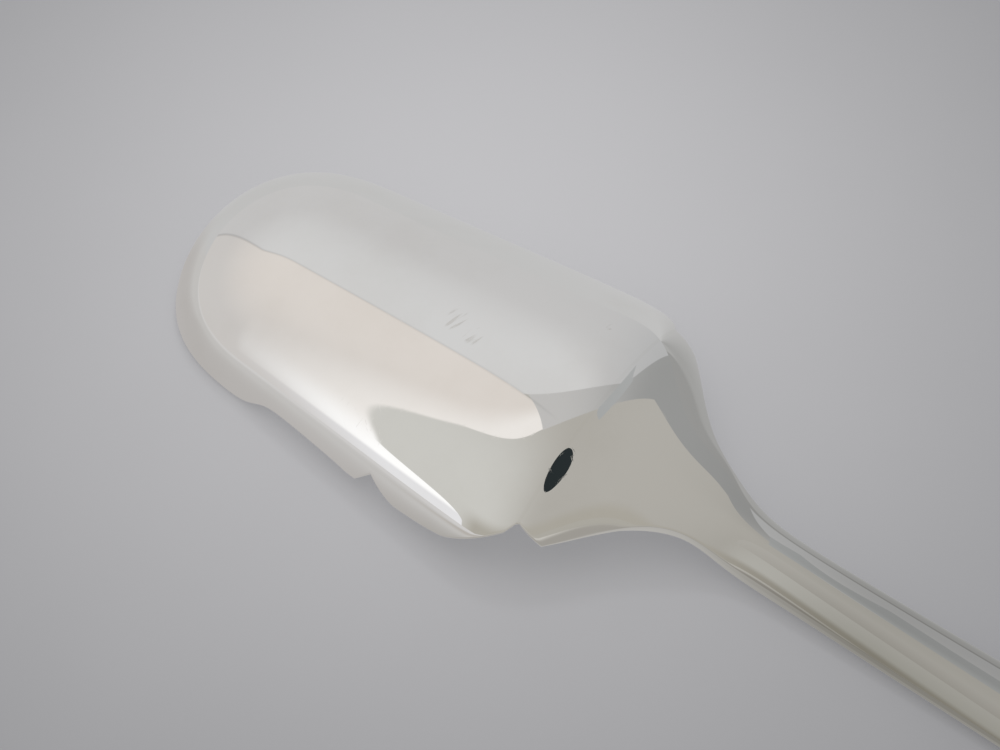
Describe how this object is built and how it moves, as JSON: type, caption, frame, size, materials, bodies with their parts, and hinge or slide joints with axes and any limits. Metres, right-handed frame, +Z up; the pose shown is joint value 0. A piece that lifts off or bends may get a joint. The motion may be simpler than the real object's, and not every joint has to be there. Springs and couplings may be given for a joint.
{
  "type": "cheese scoop",
  "caption": "Plain polished silver cheese scoop with a deep cusped bowl, pointed shoulder, slim stem and flat spatulate handle, lying face down",
  "frame": {"origin": "middle of the scoop's bounding box in plan, on the surface that it lies on", "axes": "+X runs from the bowl's tip to the handle's end, +Y is across the bowl and +Z is up, away from the table, on the convex back"},
  "size_m": [0.2118, 0.0324, 0.0129],
  "materials": {
    "silver": "polished silver, mirror bright with fine wear scratches",
    "solder": "hard silver solder, polished flush with the joint"
  },
  "bodies": {
    "root": {"bowl_shell": "silver", "bowl_solder": "solder", "shoulder": "silver", "neck_solder": "solder", "stem": "silver", "handle_solder": "solder", "handle_end": "silver"}
  },
  "joints": []
}
